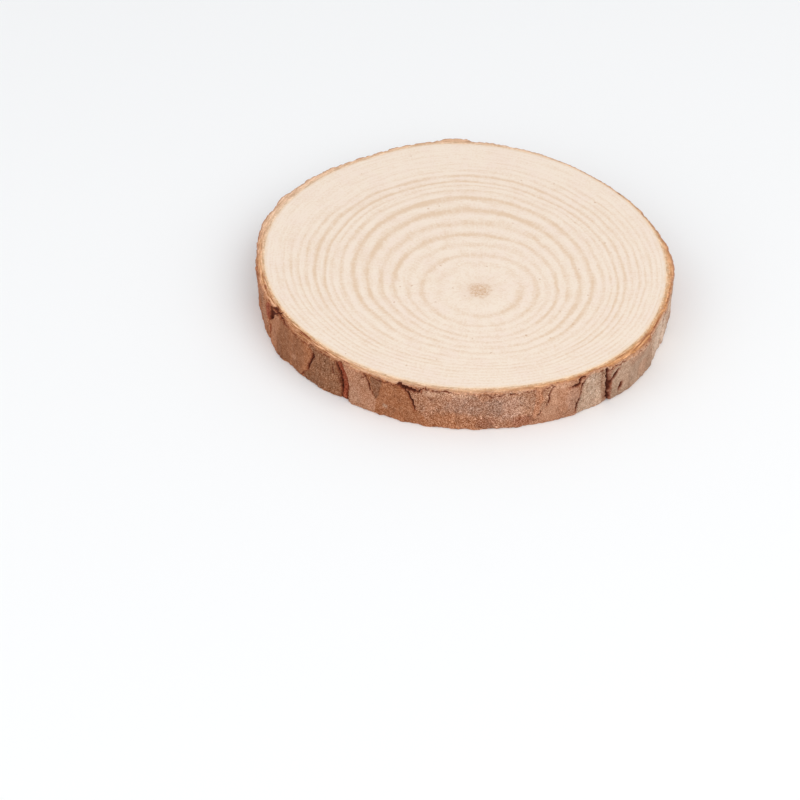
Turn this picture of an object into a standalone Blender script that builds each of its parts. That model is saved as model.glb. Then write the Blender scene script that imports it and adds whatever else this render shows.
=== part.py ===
# A slice sawn straight across a small pine branch, with its bark left on.
# The wood is a flat disc. The bark is a ring round it, with plates, upright fissures and a sawn rim.
# The middle of the slice's box is at x = 0 and y = 0, and its underside lies at z = 0.
# Angles are in degrees from +X towards +Y, seen from above. Lengths are in millimetres, and become
# metres when a vertex is put in its place.

import math
import random

import bmesh
import bpy
import numpy as np
from mathutils import Vector, noise

METRES = 0.001

# The slice
THICKNESS = 10.0
SEAM = 0.3
LEAST_BARK = 0.6

# The branch wasn't quite round: the wood's radius and the bark's thickness every 20 degrees from +X
WOOD_RADII = (45.2, 44.3, 43.6, 43.9, 44.5, 45.1, 44.5, 45.3, 45.9,
              45.4, 44.7, 44.1, 44.5, 45.4, 46.0, 47.1, 47.2, 46.1)
BARK_THICKNESSES = (1.8, 0.9, 0.8, 1.0, 1.5, 1.2, 1.8, 2.2, 2.2,
                    1.9, 1.8, 2.1, 1.8, 1.7, 1.9, 1.5, 2.1, 1.6)

# How much further out the bark's foot lies than its head, every 20 degrees from +X
FOOT_LEANS = (-0.1, 0.1, 0.0, 0.1, 0.0, 0.1, 0.0, -0.1, 0.1,
              -0.5, 0.2, 0.8, 0.5, 0.5, 0.3, 0.0, -0.6, -0.4)

# How finely the bark is modelled, with closer rows beside the two sawn faces
COLUMNS = 400
ROW_HEIGHTS = (0.0, 0.5, 1.8, 3.4, 5.0, 6.6, 8.2, 9.4, THICKNESS)
WOOD_SIDES = COLUMNS // 2

# Fissures that run from one sawn face to the other and part two plates. Each has its width, its depth,
# how far the plate after it stands out, and its route down the side as (degrees, height).
PARTING_FISSURES = (
    (1.4, 0.5, 0.15, ((201.2, 10.0), (201.8, 7.2), (200.6, 5.0), (202.2, 3.2), (201.6, 0.0))),
    (1.0, 0.5, -0.10, ((221.2, 9.6), (223.3, 7.9), (222.7, 6.0), (222.1, 3.2), (220.5, 1.6), (219.8, 0.0))),
    (1.5, 1.2, 0.10, ((233.5, 10.0), (234.2, 7.6), (234.9, 5.6), (235.0, 2.8), (235.2, 0.0))),
    (1.0, 0.4, 0.05, ((240.9, 10.0), (242.2, 8.0), (242.6, 6.0), (244.5, 3.8), (244.3, 0.0))),
    (1.0, 0.4, 0.00, ((252.6, 9.0), (254.4, 7.6), (255.3, 5.4), (255.9, 3.9), (256.4, 0.0))),
    (1.0, 0.4, 0.10, ((291.9, 10.0), (290.8, 7.4), (290.2, 4.4), (288.4, 2.2), (288.3, 0.0))),
    (1.1, 0.6, -0.05, ((302.2, 10.0), (300.0, 7.4), (299.4, 5.0), (298.5, 1.6), (298.2, 0.0))),
    (1.4, 1.1, 0.30, ((306.9, 10.0), (306.7, 7.8), (307.0, 5.0), (307.4, 0.0))),
    (1.0, 0.5, 0.05, ((323.6, 10.0), (324.6, 7.6), (323.8, 4.4), (324.9, 0.0))),
)

# Shorter cracks, which end inside a plate: width, depth and route
SHORT_FISSURES = (
    (1.0, 0.5, ((230.9, 7.7), (230.8, 5.8), (232.6, 5.4), (233.6, 3.0))),
    (1.2, 0.9, ((251.2, 10.0), (253.4, 9.5), (256.9, 9.1), (258.4, 10.0))),
    (1.0, 0.5, ((299.2, 9.8), (299.1, 8.2), (296.6, 8.1))),
    (1.0, 0.5, ((310.3, 8.7), (309.3, 7.0), (308.1, 5.2))),
    (1.0, 0.4, ((312.3, 3.9), (311.8, 2.0))),
)

# Where bark has broken away or swells: degrees, height, half width, half height and how far out
CHIPS_AND_SWELLINGS = (
    (92.0, 7.0, 5.6, 9.0, 1.3),
    (201.6, 8.0, 1.5, 2.2, -0.9),
    (208.0, 10.4, 4.2, 1.2, -0.8),
    (207.5, 1.5, 5.0, 6.5, 0.6),
    (249.5, 7.0, 3.2, 6.0, 0.4),
    (311.0, 6.0, 3.6, 7.0, 0.3),
)

# On the side turned away, the fissures follow a rule. It starts and ends where the ones above leave off.
HIDDEN_FROM = 336.0
HIDDEN_TO = 360.0 + 192.0
HIDDEN_SPACING = 12.5
HIDDEN_WANDER = 1.6
HIDDEN_CRACKS = 16
SEED = 7

# Unevenness of the bark's surface: the size of its lumps along and across the branch, and their height
LUMP_LENGTH = 7.0
LUMP_WIDTH = 3.6
LUMP_HEIGHT = 0.5
BROKEN_EDGE = 0.25

# Colours, as linear values
WOOD_COLOUR = (0.85, 0.70, 0.54, 1.0)
BARK_COLOUR = (0.305, 0.138, 0.084, 1.0)


def clear_scene():
    for obj in list(bpy.data.objects):
        bpy.data.objects.remove(obj, do_unlink=True)


def around(values, degrees):
    """A smooth closed curve through values given at even steps round the branch."""
    table = np.array(values)
    place = np.asarray(degrees) / 360.0 * len(table)
    first = np.floor(place).astype(int)
    t = place - first
    before, here, after, beyond = (table[(first + step) % len(table)] for step in (-1, 0, 1, 2))
    rise = (after - before) / 2
    fall = (beyond - here) / 2
    return (here + rise * t + (3 * (after - here) - 2 * rise - fall) * t ** 2
            + (2 * (here - after) + rise + fall) * t ** 3)


def smooth_step(t):
    t = np.clip(t, 0.0, 1.0)
    return t * t * (3 - 2 * t)


def turn_between(degrees, start):
    """The signed angle from start to degrees, the short way round."""
    return (degrees - start + 180.0) % 360.0 - 180.0


def mm_along(degrees):
    """Degrees round the bark as a distance along it."""
    return np.radians(degrees) * (np.mean(WOOD_RADII) + np.mean(BARK_THICKNESSES))


def distance_to(route, degrees, heights):
    """How far each point of the bark lies from a route, measured on the bark."""
    nearest = np.full(degrees.shape, np.inf)
    x = mm_along(turn_between(degrees, route[0][0]))
    corners = [(mm_along(turn_between(angle, route[0][0])), height) for angle, height in route]
    for (x0, z0), (x1, z1) in zip(corners, corners[1:]):
        run = x1 - x0
        drop = z1 - z0
        t = np.clip(((x - x0) * run + (heights - z0) * drop) / (run ** 2 + drop ** 2), 0.0, 1.0)
        nearest = np.minimum(nearest, np.hypot(x - x0 - t * run, heights - z0 - t * drop))
    return nearest


def hidden_fissures():
    """Parting fissures for the side turned away, at rough steps, each with its own depth and bends."""
    draw = random.Random(SEED)
    fissures = []
    angle = HIDDEN_FROM
    while angle < HIDDEN_TO:
        route = [(angle + draw.uniform(-HIDDEN_WANDER, HIDDEN_WANDER), height)
                 for height in (THICKNESS, 7.2, 4.6, 2.2, 0.0)]
        width = draw.uniform(1.0, 1.5)
        depth = draw.uniform(0.4, 1.1)
        lift = draw.uniform(-0.1, 0.3)
        fissures.append((width, depth, lift, route))
        angle += HIDDEN_SPACING * draw.uniform(0.6, 1.4)
    return fissures


def hidden_cracks():
    """Short cracks that run across the hidden plates at a slant."""
    draw = random.Random(SEED + 1)
    cracks = []
    for _ in range(HIDDEN_CRACKS):
        angle = draw.uniform(HIDDEN_FROM, HIDDEN_TO)
        top = draw.uniform(4.5, THICKNESS)
        slant = draw.uniform(-1.2, 1.2)
        middle = (angle + slant, top - draw.uniform(1.0, 2.0))
        foot = (angle + slant * draw.uniform(0.6, 2.6), middle[1] - draw.uniform(1.0, 2.4))
        cracks.append((draw.uniform(0.9, 1.2), draw.uniform(0.3, 0.6), ((angle, top), middle, foot)))
    return cracks


def plate_lift(fissures, degrees, heights):
    """How far the plate under each point stands out, changing over the width of the fissure before it."""
    past = []
    for width, _, _, route in fissures:
        angles, levels = zip(*reversed(route))
        offset = turn_between(degrees, np.interp(heights, levels, angles))
        past.append(np.where(offset < -width / 2, offset + 360.0, offset))
    past = np.array(past)
    nearest = np.argmin(past, axis=0)
    lifts = np.array([lift for _, _, lift, _ in fissures])
    widths = np.array([width for width, _, _, _ in fissures])
    on = mm_along(np.take_along_axis(past, nearest[None], axis=0)[0]) / widths[nearest]
    t = smooth_step(on + 0.5)
    return lifts[nearest - 1] * (1 - t) + lifts[nearest] * t


def bark_radii(degrees, heights):
    """The bark's outer radius at each angle and height."""
    parting = sorted([*PARTING_FISSURES, *hidden_fissures()], key=lambda fissure: fissure[3][0][0] % 360.0)
    cuts = [(width, depth, route) for width, depth, _, route in parting]
    cuts += [*SHORT_FISSURES, *hidden_cracks()]
    inner = around(WOOD_RADII, degrees)
    thickness = around(BARK_THICKNESSES, degrees) + plate_lift(parting, degrees, heights)
    thickness += around(FOOT_LEANS, degrees) * (1 - heights / THICKNESS)
    for angle, height, half_width, half_height, out in CHIPS_AND_SWELLINGS:
        reach = np.hypot(mm_along(turn_between(degrees, angle)) / half_width,
                         (heights - height) / half_height)
        thickness += out * smooth_step(2 * (1 - reach))
    for index in np.ndindex(degrees.shape):
        turn = math.radians(degrees[index])
        around_branch = mm_along(360.0) / (2 * math.pi * LUMP_WIDTH)
        spot = Vector((math.cos(turn) * around_branch, math.sin(turn) * around_branch,
                       heights[index] / LUMP_LENGTH))
        thickness[index] += LUMP_HEIGHT * noise.noise(spot)
    groove = np.zeros(degrees.shape)
    for width, depth, route in cuts:
        across = distance_to(route, degrees, heights) / (width / 2)
        groove = np.maximum(groove, depth * smooth_step(1.5 - across))
    at_edge = np.minimum(heights, THICKNESS - heights) < ROW_HEIGHTS[1] / 2
    thickness -= groove + np.where(at_edge, BROKEN_EDGE, 0.0)
    return inner + np.maximum(thickness, LEAST_BARK + SEAM / 2)


def extruded(bm, edges, move):
    """Extrudes an open loop of edges by one vector, and gives the new loop."""
    grown = bmesh.ops.extrude_edge_only(bm, edges=edges)["geom"]
    bmesh.ops.translate(bm, verts=[part for part in grown if isinstance(part, bmesh.types.BMVert)], vec=move)
    return [part for part in grown if isinstance(part, bmesh.types.BMEdge) and part.is_boundary]


def add_object(name, bm, material):
    bmesh.ops.recalc_face_normals(bm, faces=bm.faces)
    mesh = bpy.data.meshes.new(name)
    bm.to_mesh(mesh)
    bm.free()
    mesh.shade_smooth()
    mesh.set_sharp_from_angle(angle=math.radians(50))
    mesh.materials.append(material)
    obj = bpy.data.objects.new(name, mesh)
    bpy.context.scene.collection.objects.link(obj)
    return obj


def make_material(name, colour, roughness):
    material = bpy.data.materials.new(name)
    material.use_nodes = True
    shader = material.node_tree.nodes["Principled BSDF"]
    shader.inputs["Base Color"].default_value = colour
    shader.inputs["Roughness"].default_value = roughness
    shader.inputs["Metallic"].default_value = 0.0
    return material


def place(vertices, degrees, radii, heights):
    for vertex, angle, radius, height in zip(vertices, np.radians(degrees), radii, heights):
        vertex.co = Vector((radius * math.cos(angle), radius * math.sin(angle), height)) * METRES


def make_wood():
    """The disc: a flat round face, raised to the slice's thickness and moved out to the branch's outline."""
    bm = bmesh.new()
    bmesh.ops.create_circle(bm, cap_ends=True, segments=WOOD_SIDES, radius=np.mean(WOOD_RADII))
    top = bmesh.ops.extrude_face_region(bm, geom=bm.faces[:])["geom"]
    bmesh.ops.translate(bm, verts=[part for part in top if isinstance(part, bmesh.types.BMVert)],
                        vec=(0.0, 0.0, THICKNESS))
    degrees = np.array([math.degrees(math.atan2(v.co.y, v.co.x)) for v in bm.verts])
    heights = [v.co.z for v in bm.verts]
    place(bm.verts, degrees, around(WOOD_RADII, degrees) - SEAM / 2, heights)
    bmesh.ops.poke(bm, faces=[face for face in bm.faces if len(face.verts) > 4])
    return add_object("wood", bm, make_material("sanded pine", WOOD_COLOUR, 0.7))


def make_bark():
    """The ring: a plain band first, and then each point of its outer wall goes to the bark's own radius."""
    inside = np.mean(WOOD_RADII)
    outside = inside + np.mean(BARK_THICKNESSES)
    bm = bmesh.new()
    bmesh.ops.create_circle(bm, segments=COLUMNS, radius=outside)
    foot = bm.edges[:]
    edges = foot
    for low, high in zip(ROW_HEIGHTS, ROW_HEIGHTS[1:]):
        edges = extruded(bm, edges, Vector((0.0, 0.0, high - low)))
    rim = extruded(bm, edges, Vector((0.0, 0.0, 0.0)))
    rim_vertices = list({vertex for edge in rim for vertex in edge.verts})
    bmesh.ops.scale(bm, verts=rim_vertices, vec=(inside / outside, inside / outside, 1.0))
    hem = extruded(bm, rim, Vector((0.0, 0.0, -THICKNESS)))
    bmesh.ops.bridge_loops(bm, edges=foot + hem)

    middle = (inside + outside) / 2
    degrees = np.array([math.degrees(math.atan2(v.co.y, v.co.x)) for v in bm.verts])
    heights = np.array([v.co.z for v in bm.verts])
    is_outer = np.array([math.hypot(v.co.x, v.co.y) > middle for v in bm.verts])
    radii = np.where(is_outer, bark_radii(degrees, heights), around(WOOD_RADII, degrees) + SEAM / 2)
    place(bm.verts, degrees, radii, heights)
    return add_object("bark", bm, make_material("pine bark", BARK_COLOUR, 0.9))


def centre_on(widest, objects):
    """Moves the objects level so that the middle of the widest one's box comes to x = 0 and y = 0."""
    corners = np.array([vertex.co for vertex in widest.data.vertices])
    middle = (corners.min(axis=0) + corners.max(axis=0)) / 2
    for obj in objects:
        for vertex in obj.data.vertices:
            vertex.co.x -= middle[0]
            vertex.co.y -= middle[1]


def main():
    clear_scene()
    wood = make_wood()
    bark = make_bark()
    centre_on(bark, (wood, bark))


main()
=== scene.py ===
import math
import random

import bmesh
import bpy
import numpy as np
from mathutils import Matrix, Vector, noise


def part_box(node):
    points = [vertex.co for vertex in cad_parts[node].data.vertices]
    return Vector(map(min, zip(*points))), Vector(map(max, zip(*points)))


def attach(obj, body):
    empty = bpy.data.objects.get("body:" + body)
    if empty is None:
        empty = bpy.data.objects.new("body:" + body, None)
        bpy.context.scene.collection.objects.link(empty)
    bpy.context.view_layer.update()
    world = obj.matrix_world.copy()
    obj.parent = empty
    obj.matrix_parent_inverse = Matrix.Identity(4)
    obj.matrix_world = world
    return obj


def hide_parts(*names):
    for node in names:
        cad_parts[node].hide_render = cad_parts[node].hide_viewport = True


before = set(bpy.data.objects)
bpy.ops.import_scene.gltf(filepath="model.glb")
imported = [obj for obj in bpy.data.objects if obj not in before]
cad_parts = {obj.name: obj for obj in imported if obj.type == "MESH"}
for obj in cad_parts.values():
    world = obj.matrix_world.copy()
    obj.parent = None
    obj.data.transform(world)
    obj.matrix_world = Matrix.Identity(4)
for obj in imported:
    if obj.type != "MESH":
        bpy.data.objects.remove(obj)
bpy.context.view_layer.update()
mm = 0.001

# the sawn slice: where the branch's middle lies, how thick it is, and the seam left between wood and bark
cut = {
    "middle": (0.03, 0.21),
    "thickness": 10.0,
    "seam": 0.3,
}


# helpers for numbers

def srgb(red, green, blue):
    # a colour as a picture shows it, 0 to 255, as linear values
    return tuple((c / 255 / 12.92 if c < 11 else ((c / 255 + 0.055) / 1.055) ** 2.4)
                 for c in (red, green, blue)) + (1.0,)


def smoothStep(t):
    t = np.clip(t, 0.0, 1.0)
    return t * t * (3 - 2 * t)


def aroundTable(values, degrees):
    # a smooth closed curve through values given at even steps round the branch
    table = np.array(values)
    place = np.asarray(degrees) / 360.0 * len(table)
    first = np.floor(place).astype(int)
    t = place - first
    before, here, after, beyond = (table[(first + step) % len(table)] for step in (-1, 0, 1, 2))
    rise = (after - before) / 2
    fall = (beyond - here) / 2
    return (here + rise * t + (3 * (after - here) - 2 * rise - fall) * t ** 2
            + (2 * (here - after) + rise + fall) * t ** 3)


def turnBetween(degrees, start):
    return (degrees - start + 180.0) % 360.0 - 180.0


def toPolar(x, y):
    return np.hypot(x, y), np.degrees(np.arctan2(y, x)) % 360.0


def fromPolar(middle, reach, degrees):
    turn = np.radians(degrees)
    return middle[0] + reach * np.cos(turn), middle[1] + reach * np.sin(turn)


def woodRadius(degrees):
    # the wood's radius about the branch's middle, halfway into the seam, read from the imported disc
    corners = np.array([v.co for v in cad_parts["wood"].data.vertices]) / mm
    radii, angles = toPolar(corners[:, 0] - cut["middle"][0], corners[:, 1] - cut["middle"][1])
    onEdge = radii > radii.max() / 2
    angles, kept = np.unique(np.round(angles[onEdge], 2), return_index=True)
    return np.interp(degrees, angles, radii[onEdge][kept], period=360.0) + cut["seam"] / 2


# helpers for modelling

def startPiece(name):
    # what was just added becomes the piece, in edit mode with all of it selected
    piece = bpy.context.object
    piece.name = name
    piece.data.name = name
    bpy.ops.object.mode_set(mode='EDIT')
    bpy.ops.mesh.select_mode(type='EDGE')
    bpy.ops.mesh.select_all(action='SELECT')
    return piece


def selectEdges(piece, wanted):
    bpy.ops.mesh.select_all(action='DESELECT')
    bm = bmesh.from_edit_mesh(piece.data)
    for edge in bm.edges:
        if wanted(edge):
            edge.select_set(True)
    bmesh.update_edit_mesh(piece.data)


def readPoints(piece):
    co = np.zeros(len(piece.data.vertices) * 3)
    piece.data.vertices.foreach_get("co", co)
    return co.reshape(-1, 3) / mm


def writePoints(piece, points):
    piece.data.vertices.foreach_set("co", (points * mm).ravel())
    piece.data.update()


def paintPoints(piece, name, values, kind="FLOAT", field="value"):
    attribute = piece.data.attributes.new(name, kind, "POINT")
    attribute.data.foreach_set(field, np.asarray(values, np.float32).ravel())


def finishPiece(piece, cadNode):
    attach(piece, "root")
    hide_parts(cadNode)
    piece.select_set(False)
    print(piece.name, "has", len(piece.data.polygons), "faces")


# helpers for materials

def plugIn(tree, node, inputs):
    for name, value in inputs.items():
        if isinstance(value, bpy.types.NodeSocket):
            tree.links.new(value, node.inputs[name])
        else:
            node.inputs[name].default_value = value


def addNode(tree, kind, inputs, **settings):
    node = tree.nodes.new(kind)
    for name, value in settings.items():
        setattr(node, name, value)
    plugIn(tree, node, inputs)
    return node


def calc(tree, operation, *values):
    return addNode(tree, "ShaderNodeMath", dict(enumerate(values)), operation=operation).outputs[0]


def add(tree, first, second):
    return calc(tree, "ADD", first, second)


def times(tree, first, second):
    return calc(tree, "MULTIPLY", first, second)


def vectorCalc(tree, operation, *values):
    return addNode(tree, "ShaderNodeVectorMath", dict(enumerate(values)), operation=operation).outputs[0]


def spread(tree, value, low, high, to=(0.0, 1.0)):
    # low to high becomes 0 to 1, or the two values given, held at its ends
    inputs = {"Value": value, "From Min": low, "From Max": high, "To Min": to[0], "To Max": to[1]}
    return addNode(tree, "ShaderNodeMapRange", inputs).outputs[0]


def vary(tree, pattern, low, high):
    # noise lies mostly between 0.3 and 0.7
    return spread(tree, pattern, 0.3, 0.7, (low, high))


def blend(tree, share, first, second, how="MIX"):
    inputs = {0: share, 6: first, 7: second}
    return addNode(tree, "ShaderNodeMix", inputs, data_type="RGBA", blend_type=how).outputs[2]


def lighten(tree, colour, amount):
    # the same step lighter or darker in every channel, as the eye sees it, so the hue stays
    seen = addNode(tree, "ShaderNodeGamma", {"Color": colour, "Gamma": 0.45}).outputs[0]
    moved = blend(tree, 1.0, seen, amount, "ADD")
    return addNode(tree, "ShaderNodeGamma", {"Color": moved, "Gamma": 2.2}).outputs[0]


def readAttributes(tree, *names, output="Fac"):
    return [addNode(tree, "ShaderNodeAttribute", {}, attribute_name=name).outputs[output] for name in names]


def noiseAt(tree, vector, size, detail=2.0, rough=0.5):
    # size is the pattern's size in the vector's own units
    inputs = {"Vector": vector, "Scale": 1.0 / size, "Detail": detail, "Roughness": rough}
    return addNode(tree, "ShaderNodeTexNoise", inputs).outputs["Fac"]


def coordsInMm(tree):
    coords = addNode(tree, "ShaderNodeTexCoord", {}).outputs["Object"]
    return vectorCalc(tree, "MULTIPLY", coords, (1 / mm, 1 / mm, 1 / mm))


def headingFrom(tree, coords, middle):
    # the direction from a middle, as x and y of length 1
    outward = vectorCalc(tree, "SUBTRACT", coords, (*middle, 0.0))
    heading = vectorCalc(tree, "NORMALIZE", vectorCalc(tree, "MULTIPLY", outward, (1, 1, 0)))
    return addNode(tree, "ShaderNodeSeparateXYZ", {0: heading}).outputs


def noiseAround(tree, heading, turns, outwards, perUnit, detail=2.0, rough=0.5):
    # noise that is drawn out round the middle: turns is how fast it changes on the way round
    x, y = (times(tree, heading[axis], turns) for axis in (0, 1))
    z = times(tree, outwards, perUnit)
    spot = addNode(tree, "ShaderNodeCombineXYZ", {0: x, 1: y, 2: z}).outputs[0]
    return noiseAt(tree, spot, 1.0, detail, rough)


def makeFlecks():
    # small irregular flecks and a fine grain, for sanding fuzz and resin dots as for the bark's granules
    tree = bpy.data.node_groups.new("flecks and grain", "ShaderNodeTree")
    for name, value in (("Size", 0.6), ("Share", 0.2), ("Grain Size", 0.3)):
        socket = tree.interface.new_socket(name, in_out="INPUT", socket_type="NodeSocketFloat")
        socket.default_value = value
    tree.interface.new_socket("Vector", in_out="INPUT", socket_type="NodeSocketVector")
    for name in ("Flecks", "Grain"):
        tree.interface.new_socket(name, in_out="OUTPUT", socket_type="NodeSocketFloat")
    given = addNode(tree, "NodeGroupInput", {}).outputs
    perMm = calc(tree, "DIVIDE", 1.0, given["Size"])

    # flecks: cells pushed out of true, of which a share is kept
    bent = addNode(tree, "ShaderNodeTexNoise", {"Vector": given["Vector"], "Scale": 2.2, "Detail": 2.0})
    pushed = vectorCalc(tree, "MULTIPLY_ADD", bent.outputs["Color"], (0.6, 0.6, 0.6), given["Vector"])
    cells = addNode(tree, "ShaderNodeTexVoronoi", {"Vector": pushed, "Scale": perMm}, feature="F1")
    chance = addNode(tree, "ShaderNodeSeparateColor", {0: cells.outputs["Color"]}).outputs[0]
    chosen = calc(tree, "LESS_THAN", chance, given["Share"])
    near = spread(tree, cells.outputs["Distance"], 0.42, 0.12)
    grainsPerMm = calc(tree, "DIVIDE", 1.0, given["Grain Size"])
    inputs = {"Vector": given["Vector"], "Scale": grainsPerMm, "Detail": 3.0, "Roughness": 0.65}
    grain = addNode(tree, "ShaderNodeTexNoise", inputs).outputs["Fac"]
    addNode(tree, "NodeGroupOutput", {"Flecks": times(tree, chosen, near), "Grain": grain})
    return tree


flecks = makeFlecks()


def addFlecks(tree, vector, size, share, grainSize):
    inputs = {"Vector": vector, "Size": size, "Share": share, "Grain Size": grainSize}
    node = addNode(tree, "ShaderNodeGroup", inputs, node_tree=flecks)
    return node.outputs["Flecks"], node.outputs["Grain"]


def newMaterial(name):
    material = bpy.data.materials.new(name)
    material.use_nodes = True
    return material, material.node_tree, material.node_tree.nodes["Principled BSDF"]


# the wood: a sanded disc, whose rings lie round a pith well off its middle

wood = {
    "blankRadius": 45.0,              # of the round disc that is then drawn out to the branch's edge
    "hub": 0.02,                      # what share of that the fan over the pith takes
    "spokes": 384,
    "loopsAbove": 96,
    "loopsBelow": 60,
    "arris": 0.1,
    "pith": (3.05, -12.0),
    "pithDent": (1.1, 0.12),          # radius and depth
    "sway": (9.0, 0.35),              # how long and how wide the rings' waves are
    # years counted from the pith: three round ones, then three drawn every 30 degrees from +X
    "roundYears": (5.0, 9.3, 12.9),
    "fifthYear": (17.3, 18.1, 19.4, 20.4, 21.2, 20.3, 18.9, 17.2, 16.7, 16.7, 17.0, 17.1),
    "eighthYear": (25.1, 27.2, 31.2, 34.9, 34.4, 31.1, 27.3, 24.1, 22.1, 22.0, 23.0, 23.4),
    "eleventhYear": (30.7, 33.2, 36.9, 41.1, 40.9, 37.7, 33.9, 30.0, 27.0, 26.4, 27.3, 28.7),
    # where the years between those end, as shares of the way out
    "fourthYear": 0.5,
    "sixthAndSeventh": (0.31, 0.65),
    "ninthAndTenth": (0.47, 0.76),
    "lastYears": (0.16, 0.31, 0.44, 0.56, 0.69, 0.81, 0.92),
    # how dark each year's latewood is, from the pith to the bark
    "latewood": (0.0, 0.15, 0.30, 0.80, 0.45, 0.95, 0.70, 1.05, 1.05, 0.60,
                 0.45, 0.95, 0.90, 0.6, 0.65, 0.5, 0.55, 0.45, 0.4, 0.2),
    # how dark the rings are every 30 degrees from +X
    "latewoodRound": (0.85, 0.80, 0.85, 0.95, 0.95, 0.95, 0.90, 0.70, 0.55, 0.45, 0.60, 0.85),
    "pales": (42.0, 49.0, 0.85),      # from and to how far from the pith the rings pale, and by how much
    "secondYear": (300.0, 0.5),       # the side where the second year shows most, and how much darker it is
    # how the darkness rises and falls over a year, as (share of the year, darkness)
    "season": ((0.0, 0.0), (0.14, 0.0), (0.30, 0.45), (0.42, 1.0),
               (0.54, 1.0), (0.68, 0.5), (0.84, 0.1), (1.0, 0.0)),
    "waver": 0.16,                    # how far a ring strays from its line, in years
    "fuzz": 0.34,                     # how much the sanded nap lightens and darkens
    "blush": 0.45,                    # how rosy the rosy patches are
    "pithEdge": (1.7, 3.0),           # where the pith starts to end and has ended
    "halo": (2.5, 5.5, 0.18),         # the brown tinge round the pith: from, to and how much
    "bleed": (0.7, 0.75),             # the stain along the bark: how wide and how much
    "early": srgb(243, 226, 208),
    "late": srgb(228, 200, 172),
    "rosy": srgb(241, 219, 205),
    "pithBrown": srgb(214, 177, 143),
    "byTheBark": srgb(236, 208, 178),
    "resin": srgb(196, 152, 112),
}


def modelDiscBlank():
    # a plain round disc: the wall, the two faces in loops, a small arris, and a fan over the pith
    radius, height = wood["blankRadius"] * mm, cut["thickness"] * mm
    bpy.ops.mesh.primitive_circle_add(vertices=wood["spokes"], radius=radius, fill_type='NOTHING')
    disc = startPiece("woodDisc")
    bpy.ops.mesh.extrude_edges_move(TRANSFORM_OT_translate={"value": (0, 0, height)})
    for level, loops in ((height, wood["loopsAbove"]), (0.0, wood["loopsBelow"])):
        def isLevel(edge):
            return all(abs(v.co.z - level) < 1e-6 for v in edge.verts)

        def onRim(edge):
            return isLevel(edge) and all(v.co.xy.length > radius * 0.99 for v in edge.verts)

        def isOuterSpoke(edge):
            inner, outer = sorted(v.co.xy.length for v in edge.verts)
            return isLevel(edge) and outer - inner > 1e-5 and outer > radius * 0.99

        selectEdges(disc, onRim)
        bpy.ops.mesh.extrude_edges_move()
        bpy.ops.transform.resize(value=(wood["hub"], wood["hub"], 1), center_override=(0, 0, level))
        bpy.ops.mesh.edge_face_add()
        bpy.ops.mesh.poke()
        bpy.ops.mesh.select_mode(type='EDGE')
        selectEdges(disc, isOuterSpoke)
        bpy.ops.mesh.subdivide(number_cuts=loops - 1)
        selectEdges(disc, onRim)
        bpy.ops.mesh.bevel(offset=wood["arris"] * mm, segments=2, affect='EDGES')
    bpy.ops.mesh.select_all(action='SELECT')
    bpy.ops.mesh.normals_make_consistent(inside=False)
    bpy.ops.object.mode_set(mode='OBJECT')
    return disc


def edgeFromPith(degrees):
    # how far the wood's edge is from the pith, in each direction from the pith
    around = np.arange(0, 360, 0.1)
    x, y = fromPolar(cut["middle"], woodRadius(around), around)
    reach, angles = toPolar(x - wood["pith"][0], y - wood["pith"][1])
    order = np.argsort(angles)
    return np.interp(degrees, angles[order], reach[order], period=360.0)


def yearLines(degrees, edge):
    # the distance from the pith of every year's end, one row for each year
    drawn = ("fifthYear", "eighthYear", "eleventhYear")
    fifth, eighth, eleventh = (aroundTable(wood[name], degrees) for name in drawn)
    lines = [np.zeros(len(degrees))] + [np.full(len(degrees), radius) for radius in wood["roundYears"]]
    lines.append(lines[-1] + (fifth - lines[-1]) * wood["fourthYear"])
    lines.append(fifth)
    lines += [fifth + (eighth - fifth) * share for share in wood["sixthAndSeventh"]]
    lines.append(eighth)
    lines += [eighth + (eleventh - eighth) * share for share in wood["ninthAndTenth"]]
    lines.append(eleventh)
    lines += [eleventh + (edge - eleventh) * share for share in wood["lastYears"]]
    lines.append(edge)
    return np.array(lines)


def shapeWood(disc):
    points = readPoints(disc)
    reach, degrees = toPolar(points[:, 0], points[:, 1])
    edge = edgeFromPith(degrees)
    reach = edge * (reach / wood["blankRadius"])
    points[:, 0], points[:, 1] = fromPolar(wood["pith"], reach, degrees)
    dentRadius, dentDepth = wood["pithDent"]
    dent = dentDepth * smoothStep(1 - reach / dentRadius)
    points[:, 2] += np.where(points[:, 2] > cut["thickness"] / 2, -dent, dent)
    writePoints(disc, points)

    lines = yearLines(degrees, edge)
    long, wide = wood["sway"]
    spots = (points[:, :2] / long).tolist()
    waves = np.array([noise.noise(Vector((x, y, 0.0))) for x, y in spots])
    reach = np.clip(reach + wide * waves * smoothStep((edge - reach) / 2), 0.0, None)
    age = np.array([np.interp(reach[i], lines[:, i], np.arange(len(lines))) for i in range(len(reach))])
    paintPoints(disc, "ringAge", age)
    near, far, paler = wood["pales"]
    left = 1 - paler * smoothStep((reach - near) / (far - near))
    strength = np.interp(age, range(len(wood["latewood"])), wood["latewood"])
    strength *= aroundTable(wood["latewoodRound"], degrees) * left
    side, darker = wood["secondYear"]
    strength += darker * smoothStep(np.cos(np.radians(degrees - side))) * smoothStep(1 - abs(age - 2) / 0.6)
    paintPoints(disc, "ringStrength", strength)
    paintPoints(disc, "fromPith", reach)
    paintPoints(disc, "toBark", edge - reach)


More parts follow.
